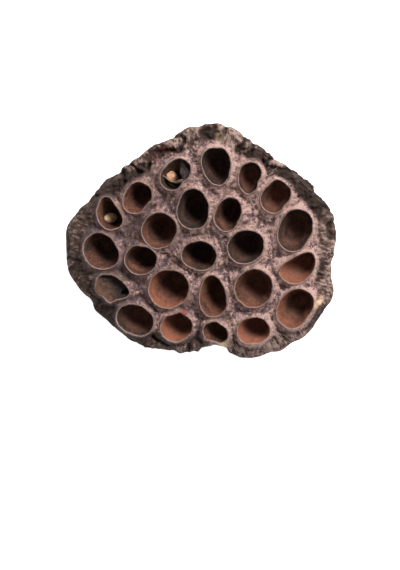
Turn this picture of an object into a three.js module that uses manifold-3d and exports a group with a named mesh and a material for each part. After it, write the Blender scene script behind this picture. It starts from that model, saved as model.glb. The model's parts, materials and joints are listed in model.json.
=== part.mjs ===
// A dried lotus pod: the woody seed head of a lotus, cut from its stem and standing on the cut, face up.
// Millimetres, +Z up. The origin lies on the surface that the pod stands on, below the middle of its rim's box.
// +X is to the right and +Y is up when the seed face is looked at from above.

import * as THREE from 'three';
import { ParametricGeometry } from 'three/addons/geometries/ParametricGeometry.js';
import { mergeVertices } from 'three/addons/utils/BufferGeometryUtils.js';
import Module from 'manifold-3d';

// Driving dimensions of the whole pod

const CROWN_HEIGHT = 46; // from the cut stem to the highest place of the seed face
const FACE_DROP = 2.5; // how much lower the face lies at its edge than at its crown
const FACE_REACH = 40; // distance from the stem's axis at which the face has dropped that much
const STEM_AXIS = new THREE.Vector2( 1, - 2.5 ); // the stem stands below the pod's weight

// The rim seen from above: the corners and bays of its outline, anticlockwise from the right.
const RIM_OUTLINE = [
	[ 46.8, 0 ], [ 46.6, 6 ], [ 44, 13 ], [ 37.5, 20.5 ], [ 27.5, 27.5 ], [ 19, 34 ], [ 11.5, 39.5 ], [ 4, 40.9 ],
	[ - 6, 38.8 ], [ - 17, 33 ], [ - 27.5, 25.5 ], [ - 38, 15 ], [ - 46, 6.5 ], [ - 47.2, - 2 ], [ - 45.3, - 13 ],
	[ - 38.6, - 22.5 ], [ - 28, - 32 ], [ - 16, - 37.7 ], [ - 4, - 39.2 ], [ 6, - 38.6 ], [ 15, - 40.9 ],
	[ 26, - 38.8 ], [ 38, - 31.5 ], [ 44.5, - 22.5 ], [ 45.8, - 10 ],
];

// Outlines turned round the stem's axis and stretched to the rim: share of the rim's reach, share of the crown's
// height. The seed face is a low plateau, and the rim rolls out round it and narrows to the stem.
const FACE_PROFILE = [
	[ 0, 1 ], [ 0.5, 1 ], [ 0.8, 1 ], [ 0.885, 0.985 ], [ 0.885, 0.9 ], [ 0, 0.9 ],
];
const SIDE_PROFILE = [
	[ 0, 0.93 ], [ 0.84, 0.965 ], [ 0.93, 0.975 ], [ 0.985, 0.935 ], [ 1, 0.87 ], [ 0.97, 0.78 ],
	[ 0.87, 0.64 ], [ 0.7, 0.47 ], [ 0.5, 0.31 ], [ 0.33, 0.165 ], [ 0.225, 0.055 ], [ 0.195, 0 ], [ 0, 0 ],
];
const FACE_COLUMNS = 40;
const SIDE_COLUMNS = 108;

// Wrinkles: rounded folds with sharp creases between them, deepest on the rim, running down the side as ribs.
// A row of them is spread unevenly by slow swings, each with its waves round the pod and its size in folds.
const FOLD_COUNT = 27;
const FOLD_SWINGS = [ { waves: 3, size: 0.5 }, { waves: 7, size: 0.35 } ];
const FOLD_CHANGE = { waves: 5, size: 0.25 }; // how much the depth of the creases changes round the pod
const RIM_FOLD = 1.5; // depth of a crease on the rim
const RIM_FOLD_SPAN = [ 0.8, 0.97 ]; // shares of the rim's reach between which the creases deepen on top
const SIDE_FOLD = 1.1; // depth of a crease on the side
const SIDE_FOLD_SPAN = [ 0.2, 0.8 ]; // the same on the side, from the stem outwards
const RIM_TOP = 0.9; // share of the crown's height above which a place is on the rim's top
const RIM_WAVE = { waves: 3, size: 0.9, rise: 4 }; // the rim's rise and fall, and how fast it dies out inwards

// Seed chambers as they lie on the face: the middle of the mouth, its length and width, the way its long axis
// points in degrees from +X, and how much it narrows that way. A mouth shaped like a bean gives how far its ends
// bend to the left of its long axis, and a chamber that isn't full size gives its depth.
const CHAMBERS = [
	{ x: 5.6, y: 26, length: 12.8, width: 9.4, turn: 280, taper: 0.2 },
	{ x: - 8.8, y: 23.2, length: 11.6, width: 8.4, turn: 48, taper: 0.05, depth: 12 },
	{ x: 17.3, y: 21.9, length: 10.5, width: 7.4, turn: 262, taper: 0.14, bend: 0.2 },
	{ x: 26.6, y: 15.3, length: 11.4, width: 9.2, turn: 55, taper: 0.05 },
	{ x: - 22.4, y: 14.9, length: 10.9, width: 9.2, turn: 60, taper: - 0.05, bend: 0.3 },
	{ x: - 32.1, y: 9.6, length: 11.4, width: 7.2, turn: 114, taper: 0.25, bend: - 0.5, depth: 12 },
	{ x: - 2.7, y: 11.1, length: 13.6, width: 10.4, turn: 92, taper: 0.1 },
	{ x: 9.8, y: 9.2, length: 11.6, width: 8.8, turn: 74, taper: 0.12 },
	{ x: 33.3, y: 3.6, length: 14.6, width: 11.3, turn: 72, taper: 0.06 },
	{ x: - 14.6, y: 3.5, length: 11.8, width: 11.2, turn: 60, taper: 0 },
	{ x: - 34.9, y: - 3.8, length: 13, width: 10.8, turn: 132, taper: - 0.05, bend: - 0.3 },
	{ x: - 20.9, y: - 7.1, length: 11.1, width: 9.5, turn: 162, taper: - 0.05 },
	{ x: - 0.7, y: - 5.3, length: 11.7, width: 9.4, turn: 172, taper: 0.08 },
	{ x: 15.9, y: - 2.2, length: 12.4, width: 10.7, turn: 20, taper: 0.05 },
	{ x: 34.2, y: - 9.6, length: 13.1, width: 8.2, turn: 34, taper: 0.1, bend: 0.5 },
	{ x: - 11.2, y: - 17, length: 13.6, width: 12.7, turn: 10, taper: 0.05 },
	{ x: 4.2, y: - 19.6, length: 13.9, width: 8.9, turn: 95, taper: 0.18 },
	{ x: 18.6, y: - 16.8, length: 12.8, width: 12.3, turn: 50, taper: 0 },
	{ x: 33.2, y: - 23.9, length: 14, width: 11.2, turn: 50, taper: 0.04 },
	{ x: - 30.9, y: - 16.9, length: 11.8, width: 7.4, turn: 336, taper: 0.24, depth: 7 },
	{ x: - 23, y: - 27.9, length: 12.8, width: 9.5, turn: 156, taper: 0 },
	{ x: - 8.5, y: - 30.6, length: 10.6, width: 9.1, turn: 10, taper: 0.05 },
	{ x: 5.1, y: - 32.4, length: 8.7, width: 6.6, turn: 152, taper: 0.05 },
	{ x: 18.5, y: - 31.7, length: 10.9, width: 8.5, turn: 8, taper: 0.06 },
];
const MOUTH_SQUARENESS = 2.25; // exponent of the mouth's outline: 2 is an ellipse
const CHAMBER_SIDES = 16;
const CHAMBER_DEPTH = 19; // of a full chamber at the stem's axis
const RIM_CHAMBER_LOSS = 5; // how much shallower a chamber is at the edge of the face
const CHAMBER_FOCUS = - 95; // height of the point below the pod that every chamber leans towards

// A chamber from above its mouth to its floor: share of the mouth's size, share of the depth.
const CHAMBER_PROFILE = [
	[ 0, - 0.4 ], [ 1, - 0.4 ], [ 1, 0.3 ], [ 0.96, 0.6 ], [ 0.75, 0.88 ], [ 0, 1 ],
];

// The raised lip round each mouth
const LIP_RISE = 0.9;
const LIP_TOP = 0.45; // width of the lip's top beyond the mouth
const LIP_FOOT = 1.9; // width of the lip where it meets the face
const LIP_ROOT = 2; // how far the lip is sunk into the face

// The tear in the rim below the face, as a bite out of its edge
const TEAR = { x: 5.6, y: - 40.2, width: 6.6, reach: 7.4, height: 15 };
const TEAR_SIDES = 14;
const TEAR_BANDS = 10;

// The cut end of the stem, with its air canals
const CANAL_COUNT = 7;
const CANAL_RING = 5.2; // distance of the canals from the stem's axis
const CANAL_RADIUS = 1.25;
const CANAL_DEPTH = 5;
const CANAL_SIDES = 8;

// Shrivelled seeds left in two chambers: each stands on its chamber's floor and leans to one side. Its tip is
// lifted off the floor's lowest place until its side is 0.3 mm clear.
const HUSKS = [
	{ name: 'seed_husk_upper', chamber: 1, length: 7.4, width: 4.4, lean: 24, turn: 139, lift: 1 },
	{ name: 'seed_husk_left', chamber: 5, length: 6.7, width: 4, lean: 22, turn: 191, lift: 0.9 },
];
const HUSK_SIDES = 10;
const HUSK_RINGS = 7;
const HUSK_FURROWS = 3; // furrows along it
const HUSK_TWIST = 4; // radians that a furrow turns from tip to tip
const HUSK_FURROW = 0.14; // depth of a furrow as a share of its width

const wasm = await Module();
wasm.setup();

const TAU = 2 * Math.PI;

// Phases of the wrinkles: the same draw on every run.
const FOLD_SEED = 24;
const RANDOM_FACTOR = 16807;
const RANDOM_PRIME = 2147483647;
const random = seededRandom( FOLD_SEED );
const FOLD_PHASES = [ random(), random(), random(), random() ];

function seededRandom( seed ) {

	let state = seed;
	return () => {

		state = ( state * RANDOM_FACTOR ) % RANDOM_PRIME;
		return state / RANDOM_PRIME;

	};

}

// A slow swing round the pod, from - size to size.
function swing( { waves, size }, u, phase ) {

	return size * Math.sin( TAU * ( waves * u + phase ) );

}

// Height of the seed face above the surface that the pod stands on.
function faceHeight( x, y ) {

	const across = ( x - STEM_AXIS.x ) ** 2 + ( y - STEM_AXIS.y ) ** 2;
	return CROWN_HEIGHT - FACE_DROP * across / FACE_REACH ** 2;

}

// A closed surface(u, v, target): anticlockwise in u, downwards in v, and drawn to a point at both ends of v.
function closedGeometry( surface, sides, bands ) {

	return new ParametricGeometry( ( u, v, target ) => surface( 1 - u, v, target ), sides, bands );

}

// A three.js geometry as a solid: shared corners joined, and triangles that have shrunk to a line dropped.
function solidOf( geometry ) {

	const bare = new THREE.BufferGeometry();
	bare.setAttribute( 'position', geometry.getAttribute( 'position' ) );
	bare.setIndex( geometry.index );
	const merged = mergeVertices( bare );
	const corners = merged.index.array;
	const triangles = [];
	for ( let i = 0; i < corners.length; i += 3 ) {

		const [ a, b, c ] = corners.slice( i, i + 3 );
		if ( a !== b && b !== c && c !== a ) triangles.push( a, b, c );

	}

	return new wasm.Manifold( new wasm.Mesh( {
		numProp: 3,
		vertProperties: merged.getAttribute( 'position' ).array,
		triVerts: new Uint32Array( triangles ),
	} ) );

}

// A solid as a named three.js mesh.
function meshOf( name, solid, material ) {

	const { vertProperties, triVerts } = solid.getMesh();
	const geometry = new THREE.BufferGeometry();
	geometry.setAttribute( 'position', new THREE.BufferAttribute( vertProperties, 3 ) );
	geometry.setIndex( new THREE.BufferAttribute( triVerts, 1 ) );
	geometry.computeVertexNormals();
	const mesh = new THREE.Mesh( geometry, material );
	mesh.name = name;
	return mesh;

}

// The pod's outside

// A row of rounded folds round the pod, 0 on top of a fold and - 1 in a crease, no two alike in width.
function fold( u ) {

	const [ first, second, third, fourth ] = FOLD_PHASES;
	const drift = swing( FOLD_SWINGS[ 0 ], u, first ) + swing( FOLD_SWINGS[ 1 ], u, second );
	const depth = 1 - FOLD_CHANGE.size + swing( FOLD_CHANGE, u, third );
	return depth * ( Math.abs( Math.sin( Math.PI * ( FOLD_COUNT * u + drift + fourth ) ) ) - 1 );

}

// How much of the wrinkles a place on the side shows: none on the face and at the stem, all on the rim.
function foldDepth( reach, height ) {

	if ( height > RIM_TOP ) return RIM_FOLD * THREE.MathUtils.smoothstep( reach, ...RIM_FOLD_SPAN );
	return SIDE_FOLD * THREE.MathUtils.smoothstep( reach, ...SIDE_FOLD_SPAN );

}

function turnedSolid( profile, columns ) {

	const points = RIM_OUTLINE.map( ( [ x, y ] ) => new THREE.Vector3( x, y, 0 ) );
	const outline = new THREE.CatmullRomCurve3( points, true );
	const bands = profile.length - 1;
	const edge = new THREE.Vector3();

	const surface = ( u, v, target ) => {

		const [ reach, height ] = profile[ Math.round( v * bands ) ];
		outline.getPointAt( u % 1, edge );
		const outward = new THREE.Vector2( edge.x, edge.y ).sub( STEM_AXIS );
		const away = outward.length() * reach + foldDepth( reach, height ) * fold( u );
		outward.setLength( away ).add( STEM_AXIS );
		const wave = reach ** RIM_WAVE.rise * height * swing( RIM_WAVE, u, FOLD_PHASES[ 1 ] );
		target.set( outward.x, outward.y, height * faceHeight( outward.x, outward.y ) + wave );

	};

	return solidOf( closedGeometry( surface, columns, bands ) );

}

// Seed chambers and their lips

// A point of a chamber's mouth outline at angle t, with the mouth's half sizes given.
function mouthPoint( chamber, halfLength, halfWidth, t ) {

	const along = Math.cos( t );
	const across = Math.sin( t );
	const n = MOUTH_SQUARENESS;
	const round = ( Math.abs( along ) ** n + Math.abs( across ) ** n ) ** ( - 1 / n );
	const bend = ( chamber.bend ?? 0 ) * ( along ** 2 - across ** 2 ) * 2 * halfLength / chamber.length;
	const point = new THREE.Vector2(
		halfLength * round * along,
		halfWidth * round * across * ( 1 - chamber.taper * along ) + bend,
	);
	return point.rotateAround( new THREE.Vector2(), THREE.MathUtils.degToRad( chamber.turn ) );

}

function chamberDepth( { x, y, depth } ) {

	const across = Math.hypot( x - STEM_AXIS.x, y - STEM_AXIS.y ) / FACE_REACH;
	return depth ?? CHAMBER_DEPTH - RIM_CHAMBER_LOSS * across ** 2;

}

// The place on a chamber's slanting middle line that lies the given depth below its mouth.
function chamberMiddle( { x, y }, depth ) {

	const mouth = new THREE.Vector3( x, y, faceHeight( x, y ) );
	const focus = new THREE.Vector3( STEM_AXIS.x, STEM_AXIS.y, CHAMBER_FOCUS );
	return mouth.lerp( focus, depth / ( mouth.z - focus.z ) );

}

function chamberHollow( chamber ) {

	const bands = CHAMBER_PROFILE.length - 1;
	const surface = ( u, v, target ) => {

		const [ size, below ] = CHAMBER_PROFILE[ Math.round( v * bands ) ];
		const edge = mouthPoint( chamber, size * chamber.length / 2, size * chamber.width / 2, TAU * u );
		target.copy( chamberMiddle( chamber, below * chamberDepth( chamber ) ) );
		target.x += edge.x;
		target.y += edge.y;

	};

	return solidOf( closedGeometry( surface, CHAMBER_SIDES, bands ) );

}

function chamberLip( chamber ) {

	const rings = [ [ LIP_TOP, LIP_RISE, 0 ], [ LIP_TOP, LIP_RISE, 1 ], [ LIP_FOOT, 0, 1 ],
		[ LIP_FOOT, - LIP_ROOT, 1 ], [ LIP_FOOT, - LIP_ROOT, 0 ] ];
	const bands = rings.length - 1;
	const surface = ( u, v, target ) => {

		const [ grow, rise, open ] = rings[ Math.round( v * bands ) ];
		const edge = mouthPoint( chamber, chamber.length / 2 + grow, chamber.width / 2 + grow, TAU * u );
		edge.multiplyScalar( open );
		const x = chamber.x + edge.x;
		const y = chamber.y + edge.y;
		target.set( x, y, faceHeight( x, y ) + rise );

	};

	return solidOf( closedGeometry( surface, CHAMBER_SIDES, bands ) );

}

// The tear in the rim, and the air canals in the cut stem

function rimTear() {

	const bite = new THREE.SphereGeometry( 1, TEAR_SIDES, TEAR_BANDS );
	bite.rotateX( Math.PI / 2 );
	bite.scale( TEAR.width / 2, TEAR.reach / 2, TEAR.height / 2 );
	bite.translate( TEAR.x, TEAR.y, faceHeight( TEAR.x, TEAR.y ) );
	return solidOf( bite );

}

function airCanals() {

	return Array.from( { length: CANAL_COUNT }, ( _, i ) => {

		const angle = TAU * i / CANAL_COUNT;
		const canal = new THREE.CylinderGeometry( CANAL_RADIUS, CANAL_RADIUS, 2 * CANAL_DEPTH, CANAL_SIDES );
		canal.rotateX( Math.PI / 2 );
		canal.translate(
			STEM_AXIS.x + CANAL_RING * Math.cos( angle ),
			STEM_AXIS.y + CANAL_RING * Math.sin( angle ),
			0,
		);
		return solidOf( canal );

	} );

}

function pod() {

	const outside = turnedSolid( SIDE_PROFILE, SIDE_COLUMNS ).add( turnedSolid( FACE_PROFILE, FACE_COLUMNS ) );
	const grown = CHAMBERS.map( chamberLip ).reduce( ( body, lip ) => body.add( lip ), outside );
	const cuts = [ ...CHAMBERS.map( chamberHollow ), rimTear(), ...airCanals() ];
	return cuts.reduce( ( body, cut ) => body.subtract( cut ), grown );

}

// The two shrivelled seeds

function seedHusk( husk ) {

	const chamber = CHAMBERS[ husk.chamber ];
	const surface = ( u, v, target ) => {

		const swell = Math.sin( Math.PI * v );
		const furrow = HUSK_FURROW * ( 1 + Math.sin( TAU * HUSK_FURROWS * u + HUSK_TWIST * v ) );
		const radius = husk.width / 2 * swell * ( 1 - furrow );
		const height = husk.length / 2 * Math.cos( Math.PI * v );
		target.set( radius * Math.cos( TAU * u ), radius * Math.sin( TAU * u ), height );

	};

	const seed = closedGeometry( surface, HUSK_SIDES, HUSK_RINGS );
	const floor = chamberMiddle( chamber, chamberDepth( chamber ) );
	seed.translate( 0, 0, husk.length / 2 + husk.lift );
	seed.rotateY( THREE.MathUtils.degToRad( husk.lean ) );
	seed.rotateZ( THREE.MathUtils.degToRad( husk.turn ) );
	seed.translate( floor.x, floor.y, floor.z );
	return solidOf( seed );

}

const POD_FINISH = new THREE.MeshStandardMaterial( { color: 0x6f5853, roughness: 0.9, metalness: 0 } );
const HUSK_FINISH = new THREE.MeshStandardMaterial( { color: 0xb28a62, roughness: 0.75, metalness: 0 } );

const lotusPod = new THREE.Group();
lotusPod.add( meshOf( 'pod', pod(), POD_FINISH ) );
for ( const husk of HUSKS ) lotusPod.add( meshOf( husk.name, seedHusk( husk ), HUSK_FINISH ) );

export default lotusPod;
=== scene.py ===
"""Dresses the solid model of a dried lotus pod in its skin, dry seeds, torn membranes and a studio.

Every length is in metres, in the frame of the solid model: +Z points up out of the seed face,
and +Y points up in the picture.
"""

import functools
import itertools
import json
import math

import bpy
import numpy as np
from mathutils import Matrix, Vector
from mathutils.bvhtree import BVHTree
from mathutils.geometry import delaunay_2d_cdt


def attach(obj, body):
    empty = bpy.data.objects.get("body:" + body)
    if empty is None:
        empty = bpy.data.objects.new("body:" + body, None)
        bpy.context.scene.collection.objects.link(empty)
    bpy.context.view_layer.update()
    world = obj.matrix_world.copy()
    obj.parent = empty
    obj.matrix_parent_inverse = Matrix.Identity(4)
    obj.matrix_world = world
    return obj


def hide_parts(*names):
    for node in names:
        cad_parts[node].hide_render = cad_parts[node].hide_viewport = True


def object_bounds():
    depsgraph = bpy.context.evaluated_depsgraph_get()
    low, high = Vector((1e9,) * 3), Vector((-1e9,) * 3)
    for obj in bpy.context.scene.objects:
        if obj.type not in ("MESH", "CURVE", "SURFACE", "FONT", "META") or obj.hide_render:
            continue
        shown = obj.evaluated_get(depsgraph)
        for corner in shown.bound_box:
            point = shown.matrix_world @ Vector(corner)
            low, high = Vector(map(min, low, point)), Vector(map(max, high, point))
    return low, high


bl_info = {
    "name": "Dried lotus pod",
    "version": (1, 0, 0),
    "blender": (4, 5, 0),
    "location": "View3D > Sidebar > Lotus pod",
    "description": "Grows the skin, seeds and studio of a dried lotus pod round its solid model",
    "category": "Object",
}

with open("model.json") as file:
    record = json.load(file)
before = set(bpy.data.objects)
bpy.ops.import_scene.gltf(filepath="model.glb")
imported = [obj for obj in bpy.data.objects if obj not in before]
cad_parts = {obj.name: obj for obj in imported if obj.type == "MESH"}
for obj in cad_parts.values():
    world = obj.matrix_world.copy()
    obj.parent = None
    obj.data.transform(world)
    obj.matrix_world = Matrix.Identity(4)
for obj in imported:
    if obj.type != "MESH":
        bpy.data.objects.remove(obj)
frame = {"nodes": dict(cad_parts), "record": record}
CAD_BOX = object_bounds()
RECORD = frame["record"]
STEM_AXIS = (*RECORD["mounts"][0]["pos_m"][:2], 0.0)
MM = 0.001
TINY = 1e-12
TAU = math.tau

# The picture: its size in pixels, the size of one pixel on the pod, and where the pod's origin lies in it.
PICTURE_WIDTH = 400
PICTURE_HEIGHT = 570
PIXEL = 0.35 * MM
POD_COLUMN = 200.7
POD_ROW = 240.7

# How finely the skin is divided.
RIM_COLUMNS = 720
MOUTH_COLUMNS = 96
FACE_GRAIN = 0.43 * MM
SIDE_ROWS = 40
SURVEY_HEIGHTS = 24

# How the places on the face are spread: the seed, and how far each is moved and kept from an edge.
SPREAD_SEED = 11
SPREAD_SHARE = 0.22
CLEAR_SHARE = 0.55

# Every use of noise on the meshes: the size of its bumps and its seed.
NOISES = {
    "mouth": (2.6 * MM, 11),
    "mouth_fine": (0.9 * MM, 12),
    "wander": (4 * MM, 13),
    "collar": (2.6 * MM, 15),
    "seam": (2.4 * MM, 16),
    "crease": (3.2 * MM, 17),
    "bend": (5 * MM, 31),
    "folds": (5.4 * MM, 36),
    "wrinkles": (1.7 * MM, 39),
    "rim_grain": (1.2 * MM, 41),
    "weather": (5 * MM, 46),
    "pits": (1.15 * MM, 51),
    "grain": (0.95 * MM, 61),
    "spokes": (0.8 * MM, 66),
    "patches": (1.4 * MM, 69),
    "wall_fibres": (0.9 * MM, 71),
    "dents": (3.2 * MM, 81),
    "rim_edge": (5 * MM, 86),
    "ribs": (4.5 * MM, 91),
    "rib_creases": (3.0 * MM, 96),
    "furrows": (1.6 * MM, 101),
    "film": (1.3 * MM, 111),
    "film_fibres": (0.9 * MM, 121),
}

# Large odd numbers that scramble the numbers of a corner of the noise's lattice.
CORNER_FACTORS = np.array([374761393, 668265263, 982451653])
SEED_FACTOR = 1274126177
LATTICE_MASK = 0xFFFFFF

# Places where the skin is worn to its pale pith: middle, radius and strength.
WORN_PLACES = [
    ((7.9 * MM, -36.6 * MM), 1.9 * MM, 0.9),
    ((42.1 * MM, -20.5 * MM), 1.2 * MM, 1.0),
    ((41.2 * MM, -21.6 * MM), 1.4 * MM, 1.0),
    ((40.5 * MM, -22.7 * MM), 1.0 * MM, 0.9),
    ((6.8 * MM, 36.4 * MM), 2.2 * MM, 0.22),
]

# Places with a red blush: middle, radius and strength.
BLUSH_PLACES = [
    ((-5.8 * MM, -25.3 * MM), 1.5 * MM, 0.8),
    ((-12.4 * MM, 32.4 * MM), 3.0 * MM, 0.16),
    ((-16.0 * MM, 29.0 * MM), 2.6 * MM, 0.12),
]

# Where the outline bulges or is worn away: direction, half width and distance out.
OUTLINE_BUMPS = [
    (5, 9, 0.6 * MM), (42, 5, 0.5 * MM), (78, 7, 0.6 * MM), (108, 7, -0.6 * MM), (130, 9, -0.6 * MM),
    (150, 8, 0.8 * MM), (165, 4, -0.5 * MM), (175, 6, 0.5 * MM), (203, 5, -1.4 * MM), (235, 5, 1.0 * MM),
    (312, 10, 0.5 * MM), (351, 5, -0.6 * MM), (10, 4, 0.5 * MM), (105, 3, -0.5 * MM), (113, 4, 0.5 * MM),
    (170, 4, 0.6 * MM), (250, 4, -0.7 * MM), (265, 2.5, -1.0 * MM), (341, 7, 0.9 * MM),
]

# The tear in the rim: the directions between which each side falls away, and its depth.
TEAR_LEFT = (266.5, 269.5)
TEAR_RIGHT = (282.5, 284.0)
TEAR_DEPTH = 2.2 * MM

# Where a mouth's edge is drawn in or out, by the chamber's number: direction, half width and distance out.
MOUTH_BUMPS = {
    2: [(315, 34, -0.8 * MM)],
    3: [(325, 32, -0.6 * MM)],
    4: [(90, 12, 0.5 * MM), (48, 24, -0.5 * MM), (318, 34, -0.8 * MM)],
    5: [(318, 36, -0.95 * MM)],
    8: [(318, 38, -1.0 * MM)],
    9: [(315, 34, -0.7 * MM)],
    12: [(320, 34, -0.7 * MM)],
    14: [(8, 5, -0.25 * MM)],
    15: [(48, 14, 0.4 * MM)],
    19: [(318, 34, -0.8 * MM)],
    20: [(264, 22, 1.1 * MM), (143, 22, 0.4 * MM), (306, 26, -0.6 * MM), (215, 22, -0.3 * MM)],
    22: [(78, 9, 0.6 * MM)],
    23: [(270, 40, -0.8 * MM)],
}

# Each chamber in order: how pale its wall is, how pale its floor is,
# and how far that floor lies to the upper right. The paleness is partly the chamber's own tone and partly
# painted light, set for how much light reaches into each chamber.
CHAMBER_LOOKS = [
    (0.00, 0.42, 0.3), (0.22, 0.15, 0.0), (0.17, 0.95, 0.1), (0.38, 0.85, 0.1),
    (0.58, 0.50, 1.0), (0.45, 0.45, 0.0), (0.05, 0.38, 0.5), (0.34, 0.52, 0.9),
    (0.18, 0.60, 0.1), (0.43, 0.58, 0.5), (0.36, 0.40, 1.0), (0.42, 0.55, 1.1),
    (0.26, 0.42, 0.7), (0.10, 0.45, 0.5), (1.10, 0.85, 1.4), (0.83, 0.55, 1.3),
    (0.58, 0.65, 1.1), (0.52, 0.72, 0.6), (0.80, 0.50, 0.9), (0.10, 0.10, 1.0),
    (0.15, 0.90, 0.9), (0.95, 1.00, 1.3), (0.30, 1.00, 1.3), (1.15, 0.95, 1.1),
]

# Air canals in the cut stem, as in the solid model.
CANAL_COUNT = 7
CANAL_RING = 5.2 * MM
CANAL_RADIUS = 1.25 * MM
CANAL_DEPTH = 5 * MM
CANAL_SIDES = 20


def amount(name, description, default, **measure):
    """A setting that is one number, with its unit or subtype where it has one."""
    return bpy.props.FloatProperty(name=name, description=description, default=default, **measure)


def length(name, description, default):
    """A setting that is a length."""
    return amount(name, description, default, unit="LENGTH")


def angle(name, description, degrees):
    """A setting that is an angle."""
    return amount(name, description, math.radians(degrees), subtype="ANGLE")


def tint(name, description, default):
    """A setting that is a colour."""
    return bpy.props.FloatVectorProperty(
        name=name, description=description, default=default, subtype="COLOR", size=3, min=0, max=1)


class PodForm(bpy.types.PropertyGroup):
    """Sizes of the pod's skin that the solid model doesn't give."""

    rim_width: length("Rim width", "Width of the rolled rim round the seed face", 6.6 * MM)
    rim_relief: length("Rim relief", "Height of the gnarled lumps on the rim", 2.6 * MM)
    groove_depth: length(
        "Groove depth", "Depth of the groove between the rim and the seed face", 0.5 * MM)
    rim_roll: length("Rim roll", "How far the middle of the rim swells up", 0.6 * MM)
    lip_height: length(
        "Lip height", "How far the lip of a seed chamber stands above the bare dome", 0.8 * MM)
    # The thin pale edge is a painted highlight.
    lip_width: length("Lip width", "Width of the thin pale edge outside a chamber's mouth", 0.15 * MM)
    collar_fall: length("Collar fall", "How far the face falls away from a lip to the valleys", 3.2 * MM)
    collar_width: length("Collar width", "Distance over which the face falls away from a lip", 2.1 * MM)
    grain_height: length("Grain height", "Height of the spongy grain of the face", 0.45 * MM)
    mouth_growth: length(
        "Mouth growth", "How much wider a chamber's lip is than the solid chamber below it", 0.42 * MM)
    outline_growth: length(
        "Outline growth", "How far the lumps of the rim stand outside the solid rim", 0.45 * MM)
    mouth_ragged: length("Ragged mouths", "How far a mouth's edge wanders", 0.2 * MM)


class PodColours(bpy.types.PropertyGroup):
    """Colours of the dry skin."""

    face: tint("Face", "Tan brown of the seed face", (0.285, 0.164, 0.130))
    mauve: tint("Mauve", "Purplish patches of the seed face", (0.242, 0.151, 0.154))
    # The valley colour is partly painted shade in the hollows, and the ridge colour partly painted light
    # on raised places.
    valley: tint("Valley", "Grey brown in the valleys and pits", (0.097, 0.064, 0.062))
    ridge: tint("Ridge", "Pinkish tan on raised places", (0.588, 0.380, 0.330))
    # The lip colour is a painted highlight along the edge of each mouth.
    lip: tint("Lip", "Pale edge of a chamber's mouth", (0.560, 0.400, 0.340))
    rim: tint("Rim", "Dark brown of the weathered rim", (0.105, 0.063, 0.050))
    # The worn colour also stands for painted light on the rim's raised lumps.
    rim_light: tint("Rim, worn", "Grey tan where the rim is worn", (0.380, 0.260, 0.222))
    wall: tint("Chamber wall", "Red brown lining of the chambers", (0.620, 0.226, 0.126))
    wall_dark: tint("Chamber wall, stained", "Dark stains on the lining", (0.060, 0.042, 0.033))
    wall_deep: tint("Chamber floor", "Brown at the bottom of the chambers", (0.345, 0.150, 0.102))
    blush: tint("Blush", "Red stain on torn edges", (0.300, 0.050, 0.048))
    pith: tint("Pith", "Pale tan where the skin is torn", (0.780, 0.550, 0.360))


class StudioSettings(bpy.types.PropertyGroup):
    """Camera distance and light of the studio."""

    camera_distance: length("Camera distance", "Height of the camera above the pod's widest place", 1.1)
    key_power: amount("Key light", "Power of the soft light at the upper right", 11.6, unit="POWER")
    key_turn: angle(
        "Key direction", "Direction that the key light comes from, anticlockwise from +X", 52)
    key_rise: angle("Key elevation", "Angle of the key light above the floor", 49)
    key_size: length("Key size", "Diameter of the key light", 0.42)
    fill_strength: amount("Fill light", "Strength of the even light from all round", 0.28)
    floor_glow: amount("Floor glow", "Light from the white floor itself, which thins the shadow", 0.9)


# Noise: the same on every run.

def lattice(corners, seed):
    """A number from 0 to 1 for each whole-numbered corner."""
    mixed = (corners * CORNER_FACTORS).sum(axis=1) + seed * SEED_FACTOR
    mixed = (mixed ^ (mixed >> 13)) * SEED_FACTOR
    mixed = mixed ^ (mixed >> 16)
    return (mixed & LATTICE_MASK) / LATTICE_MASK


def ease(share):
    """A share from 0 to 1, made smooth at both ends."""
    return share * share * (3 - 2 * share)


def noise(points, size, seed):
    """Smooth noise from -1 to 1, with bumps of about the given size."""
    spot = points / size
    cell = np.floor(spot).astype(np.int64)
    part = ease(spot - cell)
    total = np.zeros(len(points))
    for corner in itertools.product((0, 1), repeat=3):
        weight = np.prod(np.where(np.array(corner) == 1, part, 1 - part), axis=1)
        total += weight * lattice(cell + np.array(corner), seed)
    return 2 * total - 1


def noise3(points, size, seed):
    """A vector of noise for each point."""
    return np.stack([noise(points, size, seed + axis) for axis in range(3)], axis=1)


def fractal(points, size, seed, octaves=3):
    """Noise with finer noise on it, from about -1 to 1."""
    total = np.zeros(len(points))
    share = 0.0
    for octave in range(octaves):
        weight = 0.5 ** octave
        total += weight * noise(points, size * weight, seed + octave)
        share += weight
    return total / share


def scatter_distance(points, size, seed):
    """Distance to the nearest of scattered points, as a share of their spacing."""
    spot = points / size
    cell = np.floor(spot).astype(np.int64)
    nearest = np.full(len(points), np.inf)
    for step in itertools.product((-1, 0, 1), repeat=3):
        other = cell + np.array(step)
        centre = other + np.stack([lattice(other, seed + axis) for axis in range(3)], axis=1)
        nearest = np.minimum(nearest, np.linalg.norm(spot - centre, axis=1))
    return nearest


def rise(values, low, high):
    """0 below low, 1 above high and smooth between."""
    return ease(np.clip((values - low) / (high - low), 0, 1))


def bell(values, width):
    """1 at 0, falling away smoothly on both sides over a width."""
    return np.exp(-(values / width) ** 2)


def smooth_round(values, waves):
    """Values round a closed loop, with all but their slow waves taken out."""
    spectrum = np.fft.rfft(values)
    spectrum[waves + 1:] = 0
    return np.fft.irfft(spectrum, len(values))


def flat3(points):
    """Points of the plane with a third coordinate of 0, for noise."""
    return np.column_stack([points, np.zeros(len(points))])


# Plane geometry.

def ring_directions(count):
    """Unit vectors in the plane, anticlockwise from +X."""
    angles = TAU * np.arange(count) / count
    return np.stack([np.cos(angles), np.sin(angles)], axis=1)


def ring_turns(count):
    """Directions in degrees, anticlockwise from +X."""
    return np.arange(count) * 360 / count


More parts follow.
